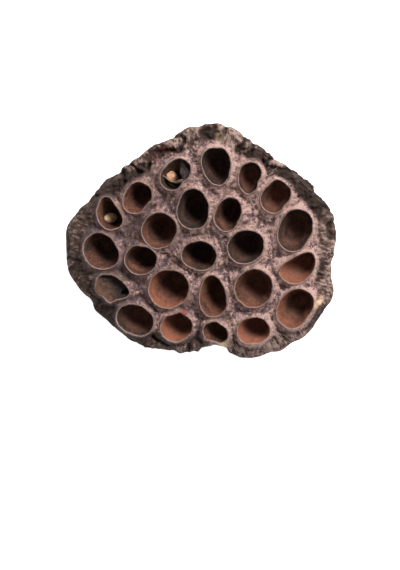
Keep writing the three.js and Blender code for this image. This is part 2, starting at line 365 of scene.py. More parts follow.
def unit(vectors):
    """Vectors of length 1 in the same directions."""
    return vectors / np.linalg.norm(vectors, axis=1)[:, None]


def border(grid):
    """The entries along the border of a grid, once round."""
    return np.concatenate([grid[0], grid[1:, -1], grid[-1, -2::-1], grid[-2:0:-1, 0]])


def loop_distance(points, loop):
    """Distance of points to a closed loop, in the plane."""
    steps = np.roll(loop, -1, axis=0) - loop
    nearest = np.full(len(points), np.inf)
    for start, step in zip(loop, steps):
        offset = points - start
        share = np.clip(offset @ step / (step @ step), 0, 1)
        nearest = np.minimum(nearest, ((offset - share[:, None] * step) ** 2).sum(axis=1))
    return np.sqrt(nearest)


def inside_loop(points, loop):
    """Which points lie inside a closed loop, in the plane."""
    inside = np.zeros(len(points), bool)
    for start, end in zip(loop, np.roll(loop, -1, axis=0)):
        crosses = (start[1] > points[:, 1]) != (end[1] > points[:, 1])
        if crosses.any():
            where = (end[0] - start[0]) * (points[:, 1] - start[1]) / (end[1] - start[1]) + start[0]
            inside ^= crosses & (points[:, 0] < where)
    return inside


MERGE_DISTANCE = 1e-9


def fill_between(outer, holes, spread):
    """Triangles between an outer loop and its holes, as numbers into all the places in that order."""
    loops = [outer, *holes]
    places = np.concatenate([*loops, spread])
    owner = np.full(len(places), -1)
    edges = []
    start = 0
    for number, loop in enumerate(loops):
        numbers = np.arange(start, start + len(loop))
        owner[numbers] = number
        edges.extend(np.stack([numbers, np.roll(numbers, -1)], axis=1).tolist())
        start += len(loop)
    made = delaunay_2d_cdt([Vector(place) for place in places], edges, [], 0, MERGE_DISTANCE)
    source = np.array([origins[0] for origins in made[3]])
    triangles = source[np.array(made[2])]
    owners = owner[triangles]
    same = (owners[:, 0] == owners[:, 1]) & (owners[:, 1] == owners[:, 2])
    middles = places[triangles].mean(axis=1)
    keep = np.ones(len(triangles), bool)
    for number, loop in enumerate(loops):
        mine = same & (owners[:, 0] == number)
        keep[mine] = inside_loop(middles[mine], loop) == (number == 0)
    triangles = triangles[keep]
    first = places[triangles[:, 1]] - places[triangles[:, 0]]
    second = places[triangles[:, 2]] - places[triangles[:, 0]]
    turned = first[:, 0] * second[:, 1] - first[:, 1] * second[:, 0] < 0
    triangles[turned] = triangles[turned][:, ::-1]
    return triangles


def bumps_at(turn, bumps):
    """Distance out at each direction in degrees: a bump has a direction, a half width and a distance."""
    total = np.zeros(len(turn))
    for middle, width, distance in bumps:
        away = (turn - middle + 180) % 360 - 180
        total += distance * bell(away, width)
    return total


# Survey of the solid pod.

class Chamber:
    """One seed chamber of the solid pod: the loop of its mouth and the lowest place of its floor."""

    LEVEL_BELOW_TOP = 2.6 * MM
    CENTRING_ROUNDS = 4
    MOUTH_WAVES = 7
    FINE_SHARE = 0.45
    FLOOR_SEARCH = np.linspace(-4.5 * MM, 4.5 * MM, 19)
    FLOOR_INSET = 1.5 * MM

    def __init__(self, tree, opening, growth, ragged):
        self.name = opening["name"]
        low, high = np.array(opening["box_m"])
        self.middle = (low + high)[:2] / 2
        self.level = high[2] - self.LEVEL_BELOW_TOP
        directions = ring_directions(MOUTH_COLUMNS)
        for _ in range(self.CENTRING_ROUNDS):
            reach = self.walls(tree, directions)
            self.middle = self.middle + np.mean(reach[:, None] * directions, axis=0)
        self.reach = smooth_round(self.walls(tree, directions), self.MOUTH_WAVES) + growth
        self.reach += bumps_at(ring_turns(MOUTH_COLUMNS), MOUTH_BUMPS.get(int(self.name[-2:]), []))
        edge = flat3(self.mouth())
        wander = noise(edge, *NOISES["mouth"]) + self.FINE_SHARE * noise(edge, *NOISES["mouth_fine"])
        self.reach += ragged * wander
        self.floor = self.lowest(tree)

    def walls(self, tree, directions):
        """Distances from the middle to the wall just under the mouth."""
        start = Vector((*self.middle, self.level))
        return np.array([tree.ray_cast(start, Vector((*way, 0)))[3] for way in directions])

    def lowest(self, tree):
        """The lowest place of the chamber's floor."""
        starts = self.middle + np.array(list(itertools.product(self.FLOOR_SEARCH, repeat=2)))
        starts = starts[inside_loop(starts, self.mouth(self.FLOOR_INSET))]
        hits = [tree.ray_cast(Vector((*start, self.level)), Vector((0, 0, -1)))[0] for start in starts]
        return np.array(min(hits, key=lambda hit: hit.z))

    def mouth(self, inset=0.0):
        """The loop of the mouth, seen from above, drawn in by a distance."""
        return self.middle + (self.reach - inset)[:, None] * ring_directions(len(self.reach))


class Side:
    """The pod's outside: its reach from the stem's axis at every height and in every direction."""

    WAVES = 60
    BOTTOM = 0.2 * MM
    TOP = 41 * MM
    CLEAR = 0.09
    LEAST_RIM = 0.75 * MM

    def __init__(self, tree, growth):
        self.axis = np.array(STEM_AXIS[:2])
        self.heights = np.linspace(self.BOTTOM, self.TOP, SURVEY_HEIGHTS)
        skins = [smooth_round(self.skin(tree, height), self.WAVES) for height in self.heights]
        self.reach = np.array(skins)
        self.outline = self.reach.max(axis=0) + growth
        turns = ring_turns(RIM_COLUMNS)
        self.outline += bumps_at(turns, OUTLINE_BUMPS)
        tear = rise(turns, *TEAR_LEFT) * (1 - rise(turns, *TEAR_RIGHT))
        self.outline -= TEAR_DEPTH * tear

    def clear_of(self, chamber):
        """Moves the outline out where it would come too close to a chamber's mouth."""
        out = chamber.mouth() - self.axis
        turns = np.arctan2(out[:, 1], out[:, 0]) / TAU
        columns = np.round(turns * RIM_COLUMNS).astype(int) % RIM_COLUMNS
        np.maximum.at(self.outline, columns, np.hypot(out[:, 0], out[:, 1]) + self.LEAST_RIM)

    def skin(self, tree, height):
        """Reach of the skin in every direction at one height."""
        reach = []
        for way in ring_directions(RIM_COLUMNS):
            start = Vector((*(self.axis + self.CLEAR * way), height))
            reach.append(self.CLEAR - tree.ray_cast(start, Vector((*-way, 0)))[3])
        return np.array(reach)

    def at(self, height):
        """Reach in every direction at a height between the surveyed ones."""
        place = np.interp(height, self.heights, np.arange(len(self.heights)))
        below = min(int(place), len(self.heights) - 2)
        share = place - below
        return (1 - share) * self.reach[below] + share * self.reach[below + 1]

    def loop(self, reach):
        """A loop round the pod with the given reach in each direction, seen from above."""
        return self.axis + reach[:, None] * ring_directions(RIM_COLUMNS)


@functools.cache
def survey(mouth_growth, mouth_ragged, outline_growth):
    """The chambers and the outside of the solid pod."""
    mesh = frame["nodes"]["pod"].data
    corners = [vertex.co for vertex in mesh.vertices]
    tree = BVHTree.FromPolygons(corners, [list(face.vertices) for face in mesh.polygons])
    chambers = []
    for opening in RECORD["physics"]["openings"]:
        if not opening["name"].endswith("mouth"):
            chambers.append(Chamber(tree, opening, mouth_growth, mouth_ragged))
    side = Side(tree, outline_growth)
    for chamber in chambers:
        side.clear_of(chamber)
    return chambers, side


# The skin.

def link(name, data):
    """A new object in the scene."""
    made = bpy.data.objects.new(name, data)
    bpy.context.scene.collection.objects.link(made)
    return made


class Skin:
    """A mesh in the making: places, faces and the marks that the finish reads."""

    MARKS = (
        "lip", "collar", "depth", "rim", "relief", "pith",
        "side", "lining", "silt", "weather", "bleach", "blush",
    )

    def __init__(self):
        self.places = []
        self.marks = []
        self.faces = []
        self.count = 0

    def add(self, places, **marks):
        """Adds places with their marks, and returns their numbers."""
        rows = np.zeros((len(places), len(self.MARKS)))
        for name, values in marks.items():
            rows[:, self.MARKS.index(name)] = values
        self.places.append(np.asarray(places, float))
        self.marks.append(rows)
        numbers = np.arange(self.count, self.count + len(places))
        self.count += len(places)
        return numbers

    def join(self, *corners):
        """Adds faces, given by the numbers of their first corners, second corners and so on."""
        self.faces.extend(np.stack(corners, axis=-1).reshape(-1, len(corners)).tolist())

    def bridge(self, upper, lower):
        """Joins two rings, where the lower ring has as many places as the upper one, or half as many."""
        onward = np.roll(lower, -1)
        if len(lower) == len(upper):
            self.join(upper, lower, onward, np.roll(upper, -1))
            return
        even = upper[0::2]
        odd = upper[1::2]
        self.join(even, lower, odd)
        self.join(odd, lower, onward)
        self.join(odd, onward, np.roll(even, -1))

    def close(self, ring, tip):
        """Joins a ring to one place."""
        self.join(ring, np.full(len(ring), tip), np.roll(ring, -1))

    def sheet(self, grid, thickness):
        """A thin closed sheet over a grid of places, given by rows."""
        normal = np.cross(np.gradient(grid, axis=0), np.gradient(grid, axis=1))
        normal /= np.linalg.norm(normal, axis=2)[:, :, None] + TINY
        shape = grid.shape[:2]
        front = self.add((grid + normal * thickness / 2).reshape(-1, 3)).reshape(shape)
        back = self.add((grid - normal * thickness / 2).reshape(-1, 3)).reshape(shape)
        for side, step in ((front, 1), (back, -1)):
            corners = (side[:-1, :-1], side[1:, :-1], side[1:, 1:], side[:-1, 1:])
            self.join(*corners[::step])
        self.bridge(border(front)[::-1], border(back)[::-1])

    def object(self, name, material):
        """The finished mesh as an object that rides on the pod's body."""
        mesh = bpy.data.meshes.new(name)
        mesh.from_pydata(np.concatenate(self.places).tolist(), [], self.faces)
        marks = np.concatenate(self.marks)
        for column, mark in enumerate(self.MARKS):
            layer = mesh.attributes.new(mark, "FLOAT", "POINT")
            layer.data.foreach_set("value", marks[:, column].astype(np.float32))
        mesh.validate()
        mesh.shade_smooth()
        mesh.materials.append(material)
        made = link(name, mesh)
        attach(made, "root")
        return made


class Relief:
    """Heights and marks of the pod's top, worked out from its chambers and its outline."""

    CROWN_DROP = 0.9 * MM
    DOME_DROP = 2.5 * MM
    DOME_REACH = 40 * MM
    OUTLINE_RADIUS = 44 * MM
    SHOULDER_DROP = 4.2 * MM
    UPRIGHT_INSET = 1.6 * MM
    OUTWARD_SHARE = 0.24

    # The rim: its roll, groove, step and folds, and how near a mouth it comes.
    ROLL_PLACE = 1.9 * MM
    ROLL_WIDTH = 1.5 * MM
    GROOVE_PLACE = 4.4 * MM
    GROOVE_WIDTH = 1.3 * MM
    GROOVE_WANDER = 1.0 * MM
    RIM_STEP = 0.4 * MM
    RIM_WANDER = 1.2 * MM
    RIM_CLEAR = (0.8 * MM, 1.8 * MM)
    RIM_CLEAR_WANDER = 0.6 * MM
    FOLD_STRETCH = 0.45
    FOLD_BEND = 2.2 * MM
    FOLD_STEEPNESS = 2.6
    FOLD_LEVEL = 0.6

    # The face: how mouths run together, and the collars, seams and creases between them.
    MOUTH_BLEND = 0.3 * MM
    LEAST_NEARNESS = 1e-30
    SMOOTH_WIDTH = 0.8 * MM
    COLLAR_WANDER = 0.55 * MM
    COLLAR_MARK = 1.5 * MM
    SEAM_WIDTH = 0.55 * MM
    SEAM_WANDER = 1.6 * MM
    SEAM_CLEAR = (0.5 * MM, 1.4 * MM)
    CREASE_DEPTH = 0.7 * MM
    CREASE_STEEPNESS = 5
    SPOKE_STRETCH = 0.3
    STAIN = 2.2
    # Painted light: the way towards which the face is painted paler, as if lit more strongly on the right.
    BLEACHED_WAY = np.array([0.98, 0.2])

    # By direction in degrees: how dark the rim is, partly from weathering and partly from painted shade
    # and painted light, and how strong its folds are.
    WEATHER = [
        (0, 0.15), (15, 0.75), (30, 1.4), (40, 1.1), (48, -0.5), (60, 1.0), (75, 0.1), (90, 0.55),
        (105, 0.1), (120, 0.05), (135, 0.75), (150, 1.2), (165, 0.55), (180, 0.33), (195, 0.36),
        (210, 0.7), (225, 1.15), (237, 0.9), (243, 0.5), (255, 0.3), (270, 0.6), (285, -0.3),
        (300, -0.25), (315, -0.25), (330, 0.55), (345, 0.15), (360, 0.15),
    ]
    WEATHER_RANGE = (-0.5, 1.5)
    WEATHER_PATCHES = 0.3
    ROUGHNESS = [
        (0, 0.6), (30, 1.1), (60, 1.0), (90, 0.9), (135, 1.0), (160, 0.6), (180, 0.2), (215, 0.3),
        (245, 0.8), (270, 0.5), (300, 0.3), (330, 0.35), (360, 0.6),
    ]

    def __init__(self, form, chambers, side):
        self.form = form
        self.chambers = chambers
        self.side = side
        self.outline = side.loop(side.outline)
        self.crown = CAD_BOX[1].z - self.CROWN_DROP

    def dome(self, points):
        """Height of the bare seed face."""
        across = ((points - self.side.axis) ** 2).sum(axis=1)
        return self.crown - self.DOME_DROP * across / self.DOME_REACH ** 2

    def mouth_level(self, chamber):
        """Height at which a chamber's lip lies."""
        return self.dome(chamber.middle[None, :])[0] + self.form.lip_height

    def shoulder(self, inset):
        """How far the rim has fallen below the dome, at a distance in from the outline."""
        share = np.clip(1 - inset / self.form.rim_width, 0, 1)
        return self.SHOULDER_DROP * (1 - np.sqrt(1 - share ** 2))

    def outward(self, points):
        """Unit vectors away from the stem's axis."""
        return unit(points[:, :2] - self.side.axis)

    def by_turn(self, points, values):
        """Values given by direction from the stem's axis, at each point."""
        out = self.outward(points)
        return np.interp(np.degrees(np.arctan2(out[:, 1], out[:, 0])) % 360, *zip(*values))

    def roughness(self, points):
        """Strength of the folds: most along the upper edge, least at the left and the lower right."""
        return self.by_turn(points, self.ROUGHNESS)

    def weather(self, points):
        """How dark the rim is, by direction and in patches: partly weathering, partly painted shade and
        painted light.
        """
        patches = self.WEATHER_PATCHES * fractal(points, *NOISES["weather"])
        return np.clip(self.by_turn(points, self.WEATHER) + patches, *self.WEATHER_RANGE)

    def folds(self, points, size, seed):
        """Rounded folds with sharp creases between them."""
        steep = np.clip(self.FOLD_STEEPNESS * np.abs(noise(points, size, seed)), 0, 1)
        return steep - self.FOLD_LEVEL

    def gnarl(self, points):
        """Folds and wrinkles across the rim, from about -1 in a crease to 1."""
        out = points[:, :2] - self.side.axis
        across = np.hypot(out[:, 0], out[:, 1]) - points[:, 2]
        around = self.OUTLINE_RADIUS * self.outward(points)
        unrolled = np.column_stack([around, self.FOLD_STRETCH * across])
        bent = unrolled + self.FOLD_BEND * noise3(points, *NOISES["bend"])
        folds = self.folds(bent, *NOISES["folds"])
        wrinkles = self.folds(bent, *NOISES["wrinkles"])
        return 1.2 * folds + 0.45 * wrinkles + 0.5 * fractal(points, *NOISES["rim_grain"])

    def grain(self, points):
        """Spongy grain, from about -1 in a pit to 1."""
        pits = rise(scatter_distance(points, *NOISES["pits"]), 0.1, 0.55) - 0.75
        return 0.6 * fractal(points, *NOISES["grain"], octaves=2) + 0.9 * pits

    def spokes(self, points, owner, near):
        """Fibres that run away from each mouth, from -1 to 1."""
        middles = np.array([chamber.middle for chamber in self.chambers])
        sizes = np.array([chamber.reach.mean() for chamber in self.chambers])
        around = sizes[owner][:, None] * unit(points - middles[owner])
        return noise(np.column_stack([around, self.SPOKE_STRETCH * near]), *NOISES["spokes"])

    def patches(self, points, places):
        """Strength of ragged patches at some places."""
        share = np.zeros(len(points))
        ragged = 1 + 0.45 * fractal(flat3(points), *NOISES["patches"])
        for middle, radius, strength in places:
            gap = np.hypot(*(points - np.array(middle)).T) / (radius * ragged)
            share = np.maximum(share, strength * (1 - rise(gap, 0.55, 1.1)))
        return share

    def top(self, points):
        """Places and marks of the face and the rim, for points seen from above."""
        form = self.form
        flat = flat3(points)
        inset = loop_distance(points, self.outline)
        gaps = np.array([loop_distance(points, chamber.mouth()) for chamber in self.chambers])
        owner = gaps.argmin(axis=0)
        nearest_two = np.partition(gaps, 1, axis=0)[:2]
        nearness = np.exp(-gaps / self.MOUTH_BLEND).sum(axis=0) + self.LEAST_NEARNESS
        near = np.maximum(0, -self.MOUTH_BLEND * np.log(nearness))
        wander = fractal(flat, *NOISES["wander"])
        edge = rise(near + self.RIM_CLEAR_WANDER * wander, *self.RIM_CLEAR)
        inner = rise(inset + self.RIM_WANDER * wander, 0.8 * form.rim_width, 1.02 * form.rim_width)
        rim = edge * (1 - inner)
        smooth = bell(near, self.SMOOTH_WIDTH)
        away = near + self.COLLAR_WANDER * fractal(flat, *NOISES["collar"]) * (1 - smooth)
        fall = form.collar_fall * (1 - np.exp(-np.maximum(away, 0) / form.collar_width))
        base = self.dome(points) + form.lip_height - fall - self.shoulder(inset)
        body = np.column_stack([points, base])
        grain = self.grain(body)
        spokes = self.spokes(points, owner, near)
        between = nearest_two[1] - nearest_two[0] + self.SEAM_WANDER * fractal(flat, *NOISES["seam"])
        seam = bell(between, self.SEAM_WIDTH) * rise(near, *self.SEAM_CLEAR)
        crease = 1 - np.clip(self.CREASE_STEEPNESS * np.abs(fractal(flat, *NOISES["crease"])), 0, 1)
        crease = np.maximum(0.7 * crease, seam)
        gnarl = self.gnarl(body)
        roughness = self.roughness(points)
        upright = rise(inset, 0, self.UPRIGHT_INSET)
        groove = rim * bell(inset - self.GROOVE_PLACE + self.GROOVE_WANDER * wander, self.GROOVE_WIDTH)
        groove *= rise(roughness + 0.5 * wander, 0.45, 0.9)
        height = base + form.grain_height * (grain + 0.6 * spokes) * (1 - 0.8 * smooth)
        height -= self.CREASE_DEPTH * crease * (1 - smooth) * (1 - rim)
        height += form.rim_roll * rim * bell(inset - self.ROLL_PLACE, self.ROLL_WIDTH)
        lumps = form.rim_relief * gnarl * rim * roughness
        height += lumps * upright - self.RIM_STEP * rim * upright - form.groove_depth * groove
        push = self.OUTWARD_SHARE * lumps * (1 - upright)
        places = np.column_stack([points + push[:, None] * self.outward(points), height])
        relief = (grain + 0.8 * spokes - 0.9 * crease) * (1 - rim) * (1 - 0.7 * smooth)
        relief += rim * (gnarl * roughness - 0.4 * groove)
        weather = self.weather(body)
        outer = 1 - rise(inset, 0.5 * form.rim_width, 1.2 * form.rim_width)
        # Collars close to the rim are darkened by the same weathering and painted shade.
        weathered_and_shaded = self.STAIN * weather * outer * (1 - rim)
        # Partly painted light: the face is marked paler on the collar round each mouth.
        collar = bell(away, self.COLLAR_MARK) * (1 - rim) * np.clip(0.9 + 1.3 * wander, 0, 1.4)
        marks = {
            "lip": bell(near, form.lip_width),
            "collar": collar - weathered_and_shaded,
            "rim": rim,
            "relief": np.clip(relief, -1, 1),
            "pith": self.patches(points, WORN_PLACES),
            "blush": self.patches(points, BLUSH_PLACES),
            "weather": weather,
            # Painted light: a share that grows towards the right, where the face is painted paler.
            "bleach": (points - self.side.axis) @ self.BLEACHED_WAY / self.DOME_REACH,
        }
        return places, marks


def relief_of(form):
    """The relief of the surveyed pod."""
    return Relief(form, *survey(form.mouth_growth, form.mouth_ragged, form.outline_growth))


def scatter_face(rim_loop, chambers):
    """Places spread over the face, clear of the mouths and the rim's loop."""
    low, high = rim_loop.min(axis=0), rim_loop.max(axis=0)
    rows = np.arange(low[1], high[1], FACE_GRAIN * math.sqrt(3) / 2)
    columns = np.arange(low[0], high[0], FACE_GRAIN)
    grid = np.array([[x + (row % 2) * FACE_GRAIN / 2, y] for row, y in enumerate(rows) for x in columns])
    spread = np.random.default_rng(SPREAD_SEED).uniform(-SPREAD_SHARE, SPREAD_SHARE, grid.shape)
    grid += spread * FACE_GRAIN
    grid = grid[inside_loop(grid, rim_loop)]
    grid = grid[loop_distance(grid, rim_loop) > CLEAR_SHARE * FACE_GRAIN]
    for chamber in chambers:
        close = np.hypot(*(grid - chamber.middle).T) < chamber.reach.max() + FACE_GRAIN
        nearby = grid[close]
        clear = loop_distance(nearby, chamber.mouth()) > CLEAR_SHARE * FACE_GRAIN
        keep = clear & ~inside_loop(nearby, chamber.mouth())
        grid = np.concatenate([grid[~close], nearby[keep]])
    return grid


# The rounded inner edge of a lip, as how far in and how far down, and below it the chamber's wall,
# as shares of its depth and of its mouth's size. A chamber that holds a seed has its floor where
# the solid model has it. Every other floor lies to the upper right of its mouth by its tilt, and the
# paler it is, the more it is silted up.
LIP_ROWS = [
    (0.08 * MM, 0.02 * MM), (0.18 * MM, 0.10 * MM), (0.25 * MM, 0.25 * MM), (0.30 * MM, 0.55 * MM),
]
WALL_ROWS = [
    (0.07, 0.975), (0.12, 0.945), (0.18, 0.91), (0.25, 0.865), (0.32, 0.82), (0.40, 0.765), (0.48, 0.71),
    (0.56, 0.65), (0.64, 0.585), (0.72, 0.51), (0.80, 0.425), (0.87, 0.335), (0.93, 0.235), (0.975, 0.125),
]
LIP_DEPTH = 0.02
WALL_DEPTH = 0.08
WALL_FIBRE_STRETCH = np.array([1, 1, 0.15])
WALL_FIBRE_HEIGHT = 0.06 * MM
DENT_HEIGHT = 0.3 * MM
FINE_WALL_ROWS = 3
CHAMBER_LEAN = 0.1
CHAMBER_TILT = np.array([0.46, 0.40, 0.0])
SILTED_SHARE = 0.3
SEED_CHAMBERS = ("seed_chamber_02", "seed_chamber_06")


def grow_chamber(skin, chamber, look, mouth_ring, mouth_heights):
    """The rounded lip, the wall and the floor of one chamber, below the ring of its mouth."""
    lining, silt, tilt = look
    previous = mouth_ring
    for row, (inset, below) in enumerate(LIP_ROWS):
        ring = np.column_stack([chamber.mouth(inset), mouth_heights - below])
        lip = 1 - row / len(LIP_ROWS)
        numbers = skin.add(ring, lip=lip, depth=LIP_DEPTH * row, lining=lining, silt=silt)
        skin.bridge(previous, numbers)
        previous = numbers
    crown = ring
    middle = np.array([*chamber.middle, crown[:, 2].mean()])
    sink = chamber.floor - middle
    if chamber.name not in SEED_CHAMBERS:
        sink *= np.array([CHAMBER_LEAN, CHAMBER_LEAN, 1 - SILTED_SHARE * silt])
        sink += tilt * chamber.reach.mean() * CHAMBER_TILT
    for row, (below, size) in enumerate(WALL_ROWS):
        centre = middle + below * sink
        ring = crown - middle
        ring[:, :2] *= size
        ring[:, 2] *= 1 - below
        ring += centre
        if row >= FINE_WALL_ROWS:
            ring = ring[0::2]
        outward = unit(ring[:, :2] - centre[:2])
        fibres = noise(ring * WALL_FIBRE_STRETCH, *NOISES["wall_fibres"])
        dents = fractal(ring, *NOISES["dents"], octaves=2)
        push = WALL_FIBRE_HEIGHT * fibres + DENT_HEIGHT * dents * rise(below, 0.02, 0.25)
        push *= min(1, 2 * size)
        ring[:, :2] += push[:, None] * outward
        mark = np.clip(0.6 * fibres + 0.6 * dents, -1, 1)
        depth = WALL_DEPTH + (1 - WALL_DEPTH) * below
        numbers = skin.add(ring, depth=depth, relief=mark, lining=lining, silt=silt)
        skin.bridge(previous, numbers)
        previous = numbers
    tip = skin.add((middle + sink)[None, :], depth=1.0, lining=lining, silt=silt)
    skin.close(previous, tip[0])


# The outside: where rings lie, where they are halved, and how the rim passes into the ribbed side.
OUTER_SHARES = (0.25, 0.5, 0.75, 0.92, 1.0)
SHOULDER_INSET = 0.45 * MM
SHOULDER_SHARE = 0.12
HALVING_SHARE = 0.6
RIM_SHARE = 0.24
RIM_EDGE = 0.05
RIB_STRETCH = 0.14
RIB_HEIGHT = 0.8 * MM
FOOT_HEIGHT = 6 * MM


def grow_side(skin, relief, rim_ring):
    """The rim's outer shoulder, the ribbed side and the cut stem."""
    side = relief.side
    previous = rim_ring
    inner = side.outline - SHOULDER_INSET
    for share in OUTER_SHARES:
        places, marks = relief.top(side.loop(inner + share * SHOULDER_INSET))
        numbers = skin.add(places, **marks)
        skin.bridge(previous, numbers)
        previous = numbers
    top = places[:, 2]
    for row in range(1, SIDE_ROWS + 1):
        share = row / SIDE_ROWS
        step = 2 if share < HALVING_SHARE else 4
        height = top * (1 - share)
        blend = rise(share, 0.0, SHOULDER_SHARE)
        reach = (1 - blend) * side.outline + blend * side.at(height.mean())
        loop = side.loop(reach)[::step]
        numbers = add_side_ring(skin, relief, loop, height[::step], share)
        skin.bridge(previous, numbers)
        previous = numbers
    grow_stem_cut(skin, side, loop, previous)


def add_side_ring(skin, relief, loop, height, share):
    """One ring of the outside, a share of the way down, with lumps, ribs and grain pushed outward."""
    form = relief.form
    places = np.column_stack([loop, height])
    rim = 1 - rise(share + RIM_EDGE * noise(places, *NOISES["rim_edge"]), 0.0, RIM_SHARE)
    lumps = relief.gnarl(places) * relief.roughness(places) * rim
    grain = relief.grain(places) * (1 - rim)
    outward = relief.outward(places)
    unrolled = np.column_stack([relief.OUTLINE_RADIUS * outward, RIB_STRETCH * height])
    creases = np.abs(noise(unrolled, *NOISES["rib_creases"]))
    ribs = (fractal(unrolled, *NOISES["ribs"]) - 1.2 * creases + 0.4) * (1 - rim)
    outward_share = 1 - (1 - relief.OUTWARD_SHARE) * rim
    push = outward_share * form.rim_relief * lumps + 0.5 * form.grain_height * grain + RIB_HEIGHT * ribs
    places[:, :2] += (push * rise(height, 0.0, FOOT_HEIGHT))[:, None] * outward
    mark = np.clip(lumps + 0.5 * grain + ribs, -1, 1)
    worn = relief.patches(loop, WORN_PLACES) * rim
    return skin.add(places, rim=rim, side=1 - rim, relief=mark, pith=worn, weather=relief.weather(places))


def grow_stem_cut(skin, side, loop, ring):
    """The flat cut end of the stem, with its air canals."""
    middles = side.axis + CANAL_RING * ring_directions(CANAL_COUNT)
    holes = [middle + CANAL_RADIUS * ring_directions(CANAL_SIDES) for middle in middles]
    rims = [skin.add(flat3(hole), side=1.0, pith=0.5) for hole in holes]
    numbers = np.concatenate([ring, *rims])
    triangles = fill_between(loop, holes, np.zeros((0, 2)))
    skin.faces.extend(numbers[triangles][:, ::-1].tolist())
    for middle, hole, mouth in zip(middles, holes, rims):
        end = skin.add(flat3(hole) + np.array([0, 0, CANAL_DEPTH]), side=1.0)
        tip = skin.add(np.array([[*middle, CANAL_DEPTH]]), side=1.0)
        skin.bridge(mouth[::-1], end[::-1])
        skin.close(end[::-1], tip[0])


class LOTUS_OT_grow_pod(bpy.types.Operator):
    """Grow the pod's skin over the solid model"""

    bl_idname = "lotus.grow_pod"
    bl_label = "Grow pod"

    def execute(self, context):
        relief = relief_of(context.scene.lotus_form)
        chambers = relief.chambers
        side = relief.side
        rim_loop = side.loop(side.outline - SHOULDER_INSET)
        mouths = [chamber.mouth() for chamber in chambers]
        spread = scatter_face(rim_loop, chambers)
        places, marks = relief.top(np.concatenate([rim_loop, *mouths, spread]))
        skin = Skin()
        numbers = skin.add(places, **marks)
        skin.faces.extend(fill_between(rim_loop, mouths, spread).tolist())
        grow_side(skin, relief, numbers[:RIM_COLUMNS])
        for number, (chamber, look) in enumerate(zip(chambers, CHAMBER_LOOKS)):
            start = RIM_COLUMNS + number * MOUTH_COLUMNS
            ring = numbers[start:start + MOUTH_COLUMNS]
            grow_chamber(skin, chamber, look, ring, places[ring, 2])
        pod = skin.object("lotus_pod", pod_finish(context.scene.lotus_colours))
        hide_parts("pod")
        return {"FINISHED"}


# Finishes.

